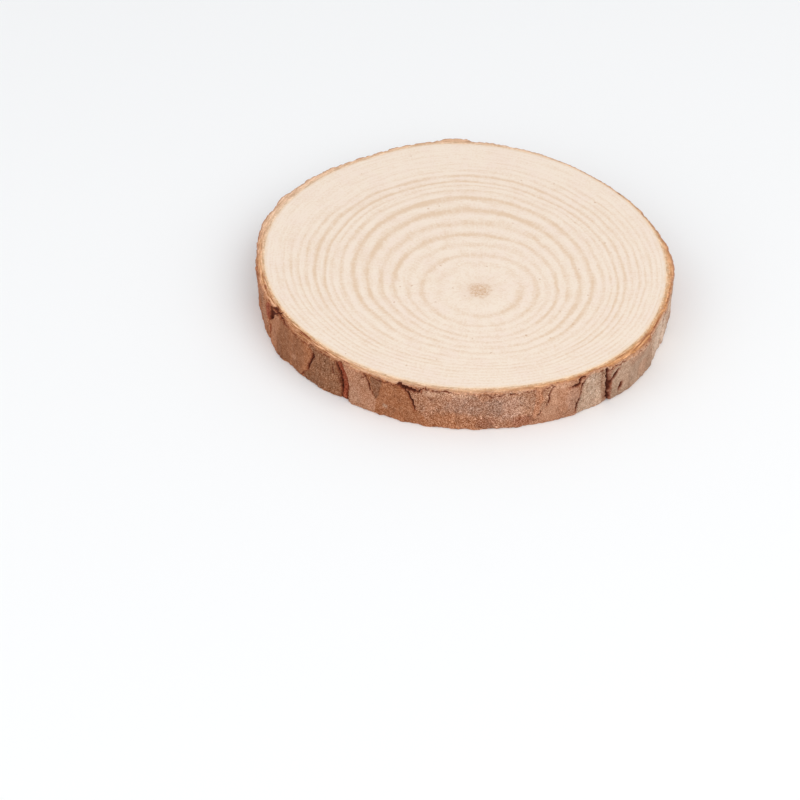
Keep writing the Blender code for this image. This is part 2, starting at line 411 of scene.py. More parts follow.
def makeWoodMaterial():
    material, tree, shader = newMaterial("sanded pine")
    coords = coordsInMm(tree)
    age, strength, fromPith, toBark = readAttributes(tree, "ringAge", "ringStrength", "fromPith", "toBark")
    heading = headingFrom(tree, coords, wood["pith"])

    # each year's end is a soft darker band, which wavers and fades a little on its way round
    ripple = calc(tree, "SUBTRACT", noiseAt(tree, coords, 2.6), 0.5)
    wavering = add(tree, age, times(tree, ripple, wood["waver"]))
    season = calc(tree, "FRACT", add(tree, wavering, 0.5))
    ramp = addNode(tree, "ShaderNodeValToRGB", {0: season})
    ramp.color_ramp.interpolation = 'B_SPLINE'
    while len(ramp.color_ramp.elements) < len(wood["season"]):
        ramp.color_ramp.elements.new(0.5)
    for element, (place, value) in zip(ramp.color_ramp.elements, wood["season"]):
        element.position = place
        element.color = (value, value, value, 1)
    fading = noiseAround(tree, heading, 4.0, age, 1.1)
    darkness = times(tree, ramp.outputs[0], strength)
    darkness = times(tree, darkness, vary(tree, fading, 0.70, 1.20))

    # faint lines within the years, rays across them, and the fuzz that sanding leaves
    fineLines = noiseAround(tree, heading, 6.0, age, 3.1)
    darkness = add(tree, darkness, spread(tree, fineLines, 0.35, 0.70, (-0.10, 0.28)))
    rays = noiseAround(tree, heading, 34.0, fromPith, 0.4)
    darkness = times(tree, darkness, spread(tree, rays, 0.35, 0.65, (0.88, 1.10)))
    darkness = add(tree, darkness, spread(tree, rays, 0.35, 0.65, (-0.07, 0.07)))
    dots, fuzz = addFlecks(tree, coords, 1.3, 0.03, 0.5)
    darkness = add(tree, darkness, vary(tree, fuzz, -wood["fuzz"], wood["fuzz"]))

    blush = spread(tree, noiseAt(tree, coords, 4.0), 0.4, 0.7, (0.0, wood["blush"]))
    colour = blend(tree, blush, wood["early"], wood["rosy"])
    colour = blend(tree, darkness, colour, wood["late"])

    # the pith, crumbly and ragged, and the first wood outside it
    ragged = calc(tree, "SUBTRACT", noiseAt(tree, coords, 1.5, 3.0), 0.5)
    pithReach = add(tree, fromPith, times(tree, ragged, 2.6))
    crumbs = spread(tree, noiseAt(tree, coords, 0.5), 0.35, 0.62, (0.20, 1.0))
    whole, ended = wood["pithEdge"]
    isPith = times(tree, spread(tree, pithReach, ended, whole), crumbs)
    near, far, tinge = wood["halo"]
    colour = blend(tree, spread(tree, pithReach, far, near, (0.0, tinge)), colour, wood["pithBrown"])
    colour = blend(tree, isPith, colour, wood["pithBrown"])

    # a stain along the bark, and dots of resin
    uneven = add(tree, toBark, times(tree, ragged, 1.2))
    width, stain = wood["bleed"]
    colour = blend(tree, spread(tree, uneven, width, 0.0, (0.0, stain)), colour, wood["byTheBark"])
    colour = blend(tree, spread(tree, dots, 0.6, 1.0, (0.0, 0.55)), colour, wood["resin"])

    relief = add(tree, times(tree, fuzz, 0.6), times(tree, darkness, 0.3))
    bump = addNode(tree, "ShaderNodeBump", {"Height": relief, "Strength": 0.4, "Distance": 0.06 * mm})
    roughness = vary(tree, fuzz, 0.58, 0.72)
    plugIn(tree, shader, {"Base Color": colour, "Roughness": roughness, "Specular IOR Level": 0.3,
                          "Normal": bump.outputs[0]})
    return material


def makeWood():
    disc = modelDiscBlank()
    shapeWood(disc)
    disc.data.materials.append(makeWoodMaterial())
    bpy.ops.object.shade_smooth_by_angle(angle=math.radians(40))
    finishPiece(disc, "wood")


# the bark: plates of grey and red-brown skin, parted by ragged fissures, with a sawn rim above and below

bark = {
    "blankInside": 45.0,              # the plain ring that is then drawn out to the branch's shape
    "blankOutside": 47.0,
    "columns": 1500,
    "crowding": (267.0, 0.3),         # where round the branch the columns stand closest, and by how much
    "rows": 46,
    "rimLoops": 6,
    "mappedRim": 3.0,                 # how wide a rim and the inner wall are on the map for baking
    "mappedInnerWall": 1.0,
    "leastThickness": 0.45,
    "sunkIntoWood": 0.04,             # how far the inner wall reaches into the wood, so that no gap shows
    # how thick it is every 20 degrees from +X
    "thicknesses": (1.8, 0.9, 0.8, 1.0, 1.5, 1.2, 1.8, 2.2, 2.2,
                    1.9, 1.8, 2.1, 1.8, 1.7, 1.9, 1.5, 2.1, 1.6),
    # how much further out the foot lies than the head, at the same steps
    "footLeans": (-0.1, 0.1, 0.0, 0.1, 0.0, 0.1, 0.0, -0.1, 0.1,
                  -0.5, 0.2, 0.8, 0.5, 0.5, 0.3, 0.0, -0.6, -0.4),
    "meanRadius": 46.85,              # of the outer surface, to turn degrees into mm along it
    "lumps": (3.6, 7.0, 0.5),         # their width and height, and how far they stand out
    "scales": (3.4, 4.6),             # the width and height of the big scales and of the small ones
    "smallScales": (1.1, 1.7),
    "skin": 0.18,                     # the grey skin that ends below the torn edge
    # from what height up it is torn off
    "tornFrom": (9.2, 9.2, 9.3, 9.2, 9.3, 9.2, 9.3, 9.2, 9.3,
                 9.5, 9.7, 9.6, 9.6, 9.8, 9.8, 9.6, 9.3, 9.2),
    "ragged": 0.28,                   # how far a crack strays from its route
    "grit": (-0.20, 0.16),            # how much darker and lighter the granules and the finer grain are
    "grain": (-0.10, 0.07),
    "specks": 0.24,                   # how much lighter the pale specks are
    # colours of the skin, as they look in soft light
    "tones": {
        "umber": srgb(145, 94, 63),
        "rust": srgb(168, 108, 72),
        "ochre": srgb(177, 117, 81),
        "moss": srgb(147, 99, 69),
        "slate": srgb(120, 82, 60),
        "rose": srgb(183, 131, 101),
        "ash": srgb(184, 141, 118),
        "shell": srgb(214, 168, 138),
        "tan": srgb(175, 141, 117),
        "pale": srgb(202, 169, 144),
        # a pale tone that also holds painted light, for the side that faces the right
        "paleAndLit": srgb(225, 197, 174),
        "orange": srgb(204, 141, 105),
        "redBark": srgb(146, 66, 38),
    },
    "innerBark": srgb(214, 150, 108),
    # the near black deep in the cracks, hollows and gaps is painted shade over their own red-brown
    "shadedCrack": srgb(88, 36, 18),
    "redCrack": srgb(138, 66, 38),
    "rimByWood": srgb(234, 202, 168),
    "rimInner": srgb(218, 172, 130),
    "rimMiddle": srgb(217, 157, 107),
    "rimOuter": srgb(172, 112, 76),
    "rimPale": srgb(236, 208, 182),
    "rimPore": srgb(132, 62, 32),
    # how pale the rim is every 20 degrees, and how strongly it is layered
    "rimPaleness": (0.1, 0.1, 0.2, 0.4, 0.5, 0.4, 0.4, 0.5, 0.5,
                    0.15, 0.0, 0.0, 0.25, 0.3, 0.2, 0.0, 0.0, 0.0),
    "rimLayers": (0.3, 0.2, 0.2, 0.1, 0.3, 0.4, 0.3, 0.2, 0.3,
                  0.6, 1.6, 1.6, 0.5, 0.4, 0.4, 0.5, 0.75, 0.6),
}

# fissures that part two plates: width, depth, how far the plate after it stands out, its tone and specks,
# and the route down the side as (degrees, height)
partings = [
    (0.4, 0.4, 0.15, "rust", 0.2,
     ((201.2, 10.0), (202.4, 8.2), (202.0, 7.0), (200.9, 6.0), (200.7, 5.0), (202.2, 3.6), (202.2, 2.6),
      (201.6, 0.0))),
    (0.36, 0.15, -0.1, "moss", 0.6,
     ((221.2, 9.6), (222.4, 8.5), (223.4, 8.0), (223.2, 7.0), (222.6, 5.5), (222.1, 3.2), (221.2, 2.4),
      (220.2, 1.1), (219.8, 0.0))),
    (0.34, 0.9, 0.1, "rose", 0.4,
     ((233.4, 9.6), (234.4, 8.2), (235.5, 6.4), (235.9, 4.2), (236.0, 3.0), (235.9, 1.5), (236.0, 0.0))),
    (0.36, 0.12, 0.05, "rust", 0.5,
     ((240.8, 10.0), (241.3, 8.8), (242.4, 7.6), (242.5, 6.6), (243.2, 5.2), (244.6, 3.8), (244.5, 2.2),
      (244.3, 0.0))),
    (0.36, 0.12, 0.0, "rose", 1.0,
     ((252.3, 9.2), (254.0, 8.0), (254.9, 6.6), (255.4, 5.3), (255.9, 3.9), (258.8, 2.0), (260.2, 0.0))),
    (0.34, 0.12, 0.1, "rose", 0.3,
     ((291.9, 9.4), (291.2, 8.6), (290.7, 7.0), (290.1, 4.4), (288.5, 2.4), (288.0, 1.4), (288.3, 0.0))),
    (0.4, 0.25, -0.05, "pale", 0.6,
     ((302.2, 9.6), (300.3, 8.0), (299.8, 6.6), (299.3, 4.4), (298.5, 1.6), (298.2, 0.0))),
    (0.56, 0.95, 0.3, "tan", 0.15,
     ((307.4, 9.7), (307.4, 8.0), (307.7, 6.0), (307.9, 3.0), (308.3, 0.0))),
    (0.42, 0.3, -0.15, "pale", 0.4,
     ((324.4, 10.0), (325.4, 7.6), (326.4, 4.4), (327.4, 0.0))),
]

# cracks that end inside a plate: width, depth and route
shortCracks = [
    (0.4, 0.8, ((201.6, 9.6), (204.0, 9.8), (207.4, 9.7), (212.4, 9.5))),
    (0.36, 0.6, ((209.6, 1.1), (209.6, 0.0))),
    (0.32, 0.35, ((219.9, 0.6), (222.0, 0.5))),
    (0.26, 0.35, ((221.1, 9.4), (222.0, 8.7), (223.3, 8.1))),
    (0.44, 0.8, ((223.7, 7.8), (223.0, 6.2), (222.5, 4.6), (222.1, 3.0))),
    (0.34, 0.45, ((221.4, 2.5), (220.2, 1.1), (219.6, 0.2))),
    (0.32, 0.5, ((230.8, 7.7), (230.9, 6.6), (230.8, 5.7), (232.5, 5.5), (232.8, 4.6), (233.5, 3.0))),
    (0.36, 0.8, ((231.9, 9.4), (232.4, 8.0), (233.2, 6.5), (233.6, 5.0), (233.8, 3.5), (234.0, 0.0))),
    (0.36, 0.6, ((240.8, 9.9), (241.4, 9.0), (242.2, 8.2), (242.6, 6.9), (243.0, 5.9), (243.8, 5.0))),
    (0.32, 0.35, ((240.2, 8.0), (241.3, 8.8))),
    (0.42, 0.85, ((252.2, 9.1), (253.2, 8.6), (254.1, 7.9), (254.9, 6.6), (255.4, 5.3), (255.9, 3.8))),
    (0.4, 0.6, ((256.9, 8.9), (257.4, 9.6), (258.3, 9.9), (260.0, 9.8))),
    (0.42, 0.4, ((259.4, 7.2), (260.4, 7.2))),
    (0.32, 0.4, ((275.0, 9.4), (276.0, 8.3), (276.6, 9.7))),
    (0.42, 0.7, ((277.6, 8.9), (278.8, 9.4))),
    (0.4, 0.7, ((280.4, 9.1), (281.8, 9.3))),
    (0.26, 0.5, ((259.8, 9.8), (262.0, 9.7), (264.4, 9.75), (266.8, 9.65))),
    (0.22, 0.35, ((269.0, 9.65), (272.0, 9.6), (276.0, 9.6))),
    (0.24, 0.45, ((283.8, 9.7), (285.2, 9.6), (286.8, 9.7))),
    (0.26, 0.5, ((289.0, 9.6), (291.4, 9.75))),
    (0.28, 0.5, ((243.4, 9.5), (245.6, 9.2), (247.8, 9.5), (250.6, 9.75))),
    (0.26, 0.45, ((214.0, 9.3), (217.0, 9.5), (221.0, 9.5))),
    (0.24, 0.45, ((224.0, 9.5), (227.0, 9.6), (231.0, 9.6))),
    (0.3, 0.35, ((289.3, 9.2), (289.6, 8.2))),
    (0.38, 0.5, ((292.2, 9.4), (291.2, 8.8), (290.7, 7.2), (290.6, 5.8), (290.1, 4.3))),
    (0.32, 0.4, ((288.9, 3.2), (288.2, 2.2))),
    (0.7, 0.95, ((301.0, 9.5), (299.7, 9.7), (299.2, 9.2), (299.1, 8.2), (297.6, 8.1), (296.3, 8.2))),
    (0.46, 0.7, ((302.0, 9.2), (300.3, 8.1), (299.8, 6.6), (299.4, 4.6))),
    (0.75, 0.9, ((299.1, 3.7), (298.3, 1.1))),
    (0.34, 0.5, ((310.0, 9.75), (308.8, 9.4), (307.6, 9.0))),
    (0.9, 1.0, ((311.0, 8.1), (310.3, 7.8), (309.5, 6.9), (308.8, 6.0), (308.2, 4.8))),
    (0.8, 1.0, ((312.1, 4.0), (311.5, 3.0), (311.4, 2.1))),
    (0.42, 0.5, ((331.9, 4.2), (332.5, 2.8))),
]

# deep hollows, with a width at each point of the route: depth, route as (degrees, height, width)
hollows = [
    (0.95, ((202.2, 9.4, 0.6), (202.8, 8.5, 1.6), (202.4, 7.5, 1.9), (201.9, 6.5, 1.4), (201.3, 5.5, 0.5))),
    (0.8, ((203.0, 8.5, 1.4), (204.4, 8.9, 0.9), (205.8, 9.2, 0.4))),
    (0.95, ((250.9, 9.8, 0.4), (252.4, 9.5, 0.9), (254.0, 9.2, 1.1), (255.6, 8.95, 0.9), (256.9, 8.8, 0.5))),
    (0.25, ((322.6, 10.0, 0.8), (324.6, 9.4, 0.8))),
]

# strips with an edge of their own: tone, amount, depth and route as (degrees, height, width)
strips = [
    ("redBark", 0.85, 0.1, ((200.8, 9.6, 1.6), (200.2, 8.0, 2.2), (200.2, 6.4, 1.4), (201.0, 5.2, 0.6))),
    ("redBark", 0.8, 0.1, ((202.2, 4.0, 0.7), (202.2, 2.4, 0.7))),
    ("redBark", 0.95, 0.3, ((232.8, 9.3, 1.0), (233.6, 8.0, 1.7), (234.4, 6.0, 2.0), (234.9, 4.0, 2.0),
                            (235.0, 0.0, 2.0))),
    ("slate", 0.65, 0.05, ((244.8, 9.0, 2.9), (244.7, 7.6, 2.7), (244.8, 6.0, 1.8), (244.8, 4.2, 0.6))),
    ("redBark", 0.6, 0.0, ((253.2, 9.7, 1.1), (257.0, 9.0, 1.3))),
    ("orange", 0.85, 0.03, ((287.8, 9.0, 1.4), (288.2, 6.5, 1.9), (287.6, 4.2, 1.5), (287.2, 2.0, 0.8))),
    # a shallow dip darkened with painted shade along the left side of the wide fissure at 307 degrees
    ("umber", 0.6, 0.05, ((306.2, 9.2, 0.9), (306.2, 6.0, 1.1), (306.7, 3.0, 1.4), (307.2, 0.0, 1.0))),
    ("redBark", 0.45, 0.0, ((308.1, 9.6, 0.4), (308.3, 6.0, 0.4), (308.5, 3.0, 0.5), (308.9, 0.0, 0.5))),
    ("shell", 0.75, 0.0, ((309.5, 9.5, 0.3), (315.0, 9.5, 0.45), (321.0, 9.4, 0.5), (324.0, 8.8, 0.4),
                          (326.0, 5.5, 0.3))),
]

# where bark broke away or swells: degrees, height, half width, half height, how far out
chipsAndSwellings = [
    (92.0, 7.0, 5.6, 9.0, 1.3),
    (208.0, 10.4, 4.2, 1.2, -0.4),
    (207.5, 1.5, 5.0, 6.5, 0.6),
    (249.5, 7.0, 3.2, 6.0, 0.4),
    (311.0, 6.0, 3.6, 7.0, 0.3),
]

# soft stains on the skin: degrees, height, half width, half height, tone and strength
stains = [
    (195.5, 6.0, 4.0, 7.0, "tan", 0.25),
    (205.0, 6.0, 2.6, 6.0, "rose", 0.4),
    (211.0, 5.0, 3.5, 8.0, "umber", 0.9),
    (217.5, 5.0, 2.8, 8.0, "umber", 0.8),
    (216.0, 3.2, 1.2, 1.0, "rose", 0.6),
    (226.0, 8.4, 2.6, 1.2, "moss", 0.5),
    (238.2, 2.0, 1.6, 2.6, "pale", 0.15),
    (247.6, 2.8, 0.8, 0.8, "pale", 0.5),
    (257.5, 8.4, 2.2, 1.0, "rose", 0.7),
    (260.6, 9.2, 2.6, 1.2, "shell", 0.65),
    (261.4, 2.2, 2.4, 2.2, "umber", 0.6),
    (269.0, 6.4, 5.0, 3.0, "ash", 0.85),
    (266.0, 1.6, 7.0, 3.2, "ochre", 0.8),
    (267.4, 9.3, 4.2, 1.0, "shell", 0.75),
    (279.0, 6.0, 5.0, 4.2, "ash", 0.9),
    (282.6, 9.3, 3.6, 1.1, "shell", 0.8),
    (285.2, 6.0, 2.8, 3.4, "shell", 0.35),
    (290.8, 5.5, 2.2, 5.0, "shell", 0.3),
    (284.0, 9.2, 3.0, 0.9, "rose", 0.6),
    (283.6, 1.6, 2.8, 1.8, "redBark", 0.4),
    (274.2, 2.2, 2.4, 1.8, "redBark", 0.3),
    (293.5, 9.4, 3.4, 0.9, "shell", 0.5),
    (300.5, 9.4, 2.4, 0.8, "shell", 0.5),
    (297.2, 5.0, 2.0, 4.0, "ash", 0.5),
    (319.0, 6.0, 3.4, 8.0, "pale", 0.35),
    (312.0, 6.0, 3.4, 5.0, "pale", 0.35),
    (318.0, 8.2, 3.4, 1.4, "rose", 0.4),
    (321.5, 3.0, 2.2, 2.4, "rose", 0.3),
    (328.0, 6.0, 2.6, 8.0, "pale", 0.15),
    # the right-hand end: paler partly in the bark's own tone and partly with painted light from the right
    (337.0, 5.0, 8.0, 6.0, "paleAndLit", 0.95),
    (346.0, 6.0, 6.0, 9.0, "pale", 0.6),
    # broad ones on the side turned away, over several plates each
    (20.0, 5.0, 14.0, 14.0, "ash", 0.5),
    (55.0, 5.0, 14.0, 14.0, "rose", 0.5),
    (85.0, 5.0, 12.0, 14.0, "umber", 0.45),
    (115.0, 5.0, 14.0, 14.0, "rose", 0.5),
    (145.0, 5.0, 14.0, 14.0, "ochre", 0.5),
    (172.0, 5.0, 10.0, 14.0, "ash", 0.45),
]

# the side turned away: its fissures, cracks and tones are drawn by a rule with a seed
hidden = {
    "from": 336.0,
    "to": 552.0,
    "spacing": 12.5,
    "wander": 1.6,
    "corners": (cut["thickness"], 7.2, 4.6, 2.2, 0.0),
    "seed": 7,
    "tones": ("rust", "ochre", "rose", "moss", "ash", "tan", "rose"),
    # broad cracks and fine ones: how many, the most slant, and from and to for: the height it starts at,
    # the drop of its first leg, the bend and drop of its second, its width and its depth
    "cracks": (
        (16, 1.2, (4.5, 10.0), (1.0, 2.0), (0.6, 2.6), (1.0, 2.4), (0.405, 0.54), (0.3, 0.6)),
        (46, 1.0, (1.5, 10.0), (0.5, 1.6), (0.2, 2.4), (0.4, 1.8), (0.28, 0.4), (0.2, 0.4)),
    ),
}


def drawHiddenSide():
    draw = random.Random(hidden["seed"])
    tint = random.Random(hidden["seed"] + 5)
    found = []
    angle = hidden["from"]
    while angle < hidden["to"]:
        route = [(angle + draw.uniform(-hidden["wander"], hidden["wander"]), height)
                 for height in hidden["corners"]]
        width = draw.uniform(0.4, 0.6)
        depth = draw.uniform(0.4, 1.1)
        depth *= 0.4 + 0.6 * smoothStep((depth - 0.4) / 0.4)       # shallow ones shallower still
        lift = draw.uniform(-0.1, 0.3)
        tone, specks = tint.choice(hidden["tones"]), tint.uniform(0.2, 0.8)
        found.append((width, depth, lift, tone, specks, route))
        angle += hidden["spacing"] * draw.uniform(0.6, 1.4)
    return found


def drawHiddenCracks():
    draw = random.Random(hidden["seed"] + 1)
    cracks = []
    for count, mostSlant, tops, firstDrops, bends, secondDrops, widths, depths in hidden["cracks"]:
        for _ in range(count):
            angle = draw.uniform(hidden["from"], hidden["to"])
            top = draw.uniform(*tops)
            slant = draw.uniform(-mostSlant, mostSlant)
            middle = (angle + slant, top - draw.uniform(*firstDrops))
            foot = (angle + slant * draw.uniform(*bends), middle[1] - draw.uniform(*secondDrops))
            cracks.append((draw.uniform(*widths), draw.uniform(*depths), ((angle, top), middle, foot)))
    return cracks


def alongBark(degrees):
    return np.radians(degrees) * bark["meanRadius"]


def distanceTo(route, degrees, heights):
    # how far each point is from a route, and how far along it, from 0 to 1, the nearest place on it lies
    nearest, along = np.full(degrees.shape, np.inf), np.zeros(degrees.shape)
    x = alongBark(turnBetween(degrees, route[0][0]))
    corners = [(alongBark(turnBetween(angle, route[0][0])), height) for angle, height in route]
    for leg, ((x0, z0), (x1, z1)) in enumerate(zip(corners, corners[1:])):
        run, drop = x1 - x0, z1 - z0
        t = np.clip(((x - x0) * run + (heights - z0) * drop) / (run ** 2 + drop ** 2), 0.0, 1.0)
        away = np.hypot(x - x0 - t * run, heights - z0 - t * drop)
        along = np.where(away < nearest, (leg + t) / (len(corners) - 1), along)
        nearest = np.minimum(nearest, away)
    return nearest, along


def barkNoise(degrees, heights, width, height, layer=0.0):
    # smooth noise on the bark, about -1 to 1, with lumps of that width and height
    turn = np.radians(degrees)
    radius = bark["meanRadius"] / width
    spots = zip(np.cos(turn) * radius, np.sin(turn) * radius, heights / height + layer)
    return np.array([noise.noise(Vector(spot)) for spot in spots])


def flakes(degrees, heights, width, height):
    # scales like overlapping tiles: how far inside its scale each point is, and a value for the scale
    turn = np.radians(degrees)
    radius = bark["meanRadius"] / width
    inside, level = np.zeros(len(degrees)), np.zeros(len(degrees))
    for i, spot in enumerate(zip(np.cos(turn) * radius, np.sin(turn) * radius, heights / height)):
        distances, centres = noise.voronoi(Vector(spot), distance_metric='DISTANCE', exponent=2.5)
        inside[i] = distances[1] - distances[0]
        level[i] = noise.cell(centres[0] * 7.31)
    return inside, level


def plateUnder(fissures, degrees, heights):
    # which plate each point lies on, and how far past the fissure before it, in mm
    past = []
    for fissure in fissures:
        angles, levels = zip(*reversed(fissure[-1]))
        past.append(alongBark(turnBetween(degrees, np.interp(heights, levels, angles)) % 360.0))
    past = np.array(past)
    plate = np.argmin(past, axis=0)
    return plate, past[plate, np.arange(len(plate))]


def strokeAt(route, degrees, heights):
    # 1 within a stroke whose width is given at each point of its route
    away, along = distanceTo([point[:2] for point in route], degrees, heights)
    half = np.interp(along * (len(route) - 1), range(len(route)), [point[2] / 2 for point in route])
    return smoothStep((1.15 - away / half) / 0.4)


def spotAt(degrees, heights, angle, height, halfWidth, halfHeight):
    # 0 in the middle of an oval spot, and 1 at its edge
    return np.hypot(alongBark(turnBetween(degrees, angle)) / halfWidth, (heights - height) / halfHeight)


def strayedFrom(degrees, heights):
    # slightly wrong places: what is measured at them gets ragged edges
    aside = barkNoise(degrees, heights, 0.9, 1.2, 31.0) + 0.8 * barkNoise(degrees, heights, 0.4, 0.4, 47.0)
    above = barkNoise(degrees, heights, 1.1, 0.9, 63.0) + 0.8 * barkNoise(degrees, heights, 0.4, 0.4, 79.0)
    atDegrees = degrees + np.degrees(aside * bark["ragged"] / bark["meanRadius"])
    return atDegrees, heights + above * bark["ragged"]


def crackDepths(parted, degrees, heights, atDegrees, atHeights):
    # how deep the cracks are at each point, and how far the lips beside them stand out: those that part
    # two plates run right through, and the others narrow to their ends
    groove, lip = np.zeros(len(degrees)), np.zeros(len(degrees))
    varying = 1 + 0.8 * barkNoise(degrees, heights, 1.2, 1.2, 19.0)
    byTheRim = 1 - 0.75 * smoothStep((heights - 9.2) / 0.6)
    through = [(width, depth * byTheRim, route, 0.0) for width, depth, _, _, _, route in parted]
    ending = [(width, depth, route, 0.65) for width, depth, route in shortCracks + drawHiddenCracks()]
    for width, depth, route, narrowing in through + ending:
        away, along = distanceTo(route, atDegrees, atHeights)
        half = width / 2 * varying * (1 - narrowing * abs(2 * along - 1) ** 3)
        sharp = depth * smoothStep(1.3 - away / half)
        soft = 0.3 * depth * smoothStep(1 - away / 1.1)
        groove = np.maximum(groove, np.maximum(sharp, soft))
        lip = np.maximum(lip, np.minimum(depth, 0.6) * 0.15 * smoothStep(1 - abs(away - width) / 0.4))
    halfway = (degrees + atDegrees) / 2, (heights + atHeights) / 2
    for depth, route in hollows:
        groove = np.maximum(groove, depth * strokeAt(route, *halfway))
    return groove, lip


def tornSkin(degrees, heights):
    # 1 where the skin is torn off by a sawn face, and how deep the gaps under its torn edge are
    level = heights * 0
    torn = aroundTable(bark["tornFrom"], degrees)
    edge = (torn + 0.40 * barkNoise(degrees, level, 3.2, 3.0, 91.0)
            + 0.55 * barkNoise(degrees, level, 0.9, 3.0, 97.0))
    lowEdge = 0.25 + 0.5 * barkNoise(degrees, level, 1.5, 3.0, 101.0)
    gaping = smoothStep((barkNoise(degrees, level, 1.6, 3.0, 105.0) - 0.02) / 0.12)
    gaping *= smoothStep((9.85 - torn) / 0.4)
    gap = 0.45 * gaping * smoothStep(1 - abs(heights - edge + 0.05) / 0.28)
    return np.maximum(smoothStep((heights - edge) / 0.18), smoothStep((lowEdge - heights) / 0.15)), gap


def tinted(colour, tone, share):
    share = share[:, None]
    return colour * (1 - share) + np.array(bark["tones"][tone]) * share


def surfaceOf(degrees, heights):
    # the bark's thickness and colour at each point, and what else the material needs to know there
    parted = sorted(partings + drawHiddenSide(), key=lambda fissure: fissure[-1][0][0] % 360.0)
    atDegrees, atHeights = strayedFrom(degrees, heights)
    plate, past = plateUnder(parted, atDegrees, np.clip(atHeights, 0.0, cut["thickness"]))
    _, _, lifts, tones, specks, _ = zip(*parted)
    lifts, specks = np.array(lifts), np.array(specks)[plate]
    risen = smoothStep(past / 0.35)
    plain = aroundTable(bark["thicknesses"], degrees)
    plain += aroundTable(bark["footLeans"], degrees) * (1 - heights / cut["thickness"])
    thickness = plain + lifts[plate - 1] * (1 - risen) + lifts[plate] * risen
    for *spot, out in chipsAndSwellings:
        thickness += out * smoothStep(2 * (1 - spotAt(atDegrees, atHeights, *spot)))

    # lumps, thin overlapping scales and a rough skin, all less where the bark is thin
    width, height, out = bark["lumps"]
    rugged = np.clip((plain - 0.5) / 1.1, 0.3, 1.0)
    uneasy = 0.35 + 0.35 * specks
    inside, level = flakes(atDegrees, atHeights, *bark["scales"])
    _, smallLevel = flakes(atDegrees + 40.0, atHeights, *bark["smallScales"])
    rough = barkNoise(degrees, heights, 0.55, 0.7, 5.0)
    uneven = barkNoise(degrees, heights, 1.4, 2.0, 11.0)
    skin = 0.18 * (level - 0.5) + 0.08 * (smallLevel - 0.5) + 0.10 * rough + 0.14 * uneven
    thickness += rugged * (out * barkNoise(degrees, heights, width, height) + uneasy * skin)

    # cracks, strips, and the torn edge of the skin, above which the inner bark shows
    groove, lip = crackDepths(parted, degrees, heights, atDegrees, atHeights)
    strokes = [strokeAt(route, atDegrees, atHeights) for _, _, _, route in strips]
    for (_, _, depth, _), here in zip(strips, strokes):
        thickness -= depth * here
    torn, gap = tornSkin(degrees, heights)
    groove = np.maximum(groove, gap)
    thickness += lip - groove - bark["skin"] * torn
    thickness = np.maximum(thickness, bark["leastThickness"])

    # colours: each plate's tone, stains and strips over it, its scales lighter or darker, lines round some
    plateTones = np.array([bark["tones"][tone] for tone in tones])
    colour = plateTones[plate - 1] * (1 - risen[:, None]) + plateTones[plate] * risen[:, None]
    for *spot, tone, amount in stains:
        reach = spotAt(atDegrees, atHeights, *spot)
        colour = tinted(colour, tone, amount * smoothStep(1.6 * (1.15 - reach)))
    for (tone, amount, _, _), here in zip(strips, strokes):
        colour = tinted(colour, tone, amount * here)
    lines = smoothStep(1 - inside / 0.07) * smoothStep((uneven + 0.05) / 0.2)
    scaly = 0.16 * (level - 0.5) + 0.10 * (smallLevel - 0.5) - 0.25 * lines
    colour = colour * (1 + uneasy * scaly)[:, None]
    # the cracks' depth, which also sets how much painted shade goes into them
    marks = {"groove": np.clip(groove / 0.7, 0, 1), "torn": torn, "specked": specks}
    return thickness, colour, marks


def modelRingBlank():
    # a plain ring: the outer wall in rows, the two rims in loops, and the inner wall
    inside, outside = bark["blankInside"] * mm, bark["blankOutside"] * mm
    height = cut["thickness"] * mm
    bpy.ops.mesh.primitive_circle_add(vertices=bark["columns"], radius=outside, fill_type='NOTHING')
    ring = startPiece("barkRing")
    bpy.ops.mesh.extrude_edges_move(TRANSFORM_OT_translate={"value": (0, 0, height)})
    bpy.ops.mesh.extrude_edges_move()
    bpy.ops.transform.resize(value=(inside / outside, inside / outside, 1), center_override=(0, 0, height))
    bpy.ops.mesh.extrude_edges_move(TRANSFORM_OT_translate={"value": (0, 0, -height)})
    selectEdges(ring, lambda edge: edge.is_boundary)
    bpy.ops.mesh.bridge_edge_loops()
    middle = (inside + outside) / 2

    def isUpright(edge):
        a, b = (v.co for v in edge.verts)
        return abs(a.z - b.z) > height / 2 and a.xy.length > middle

    def isAcross(edge):
        a, b = (v.co for v in edge.verts)
        return abs(a.xy.length - b.xy.length) > (outside - inside) / 2

    selectEdges(ring, isUpright)
    bpy.ops.mesh.subdivide(number_cuts=bark["rows"] - 1)
    selectEdges(ring, isAcross)
    bpy.ops.mesh.subdivide(number_cuts=bark["rimLoops"] - 1)
    bpy.ops.mesh.select_all(action='SELECT')
    bpy.ops.mesh.normals_make_consistent(inside=False)
    bpy.ops.object.mode_set(mode='OBJECT')
    return ring


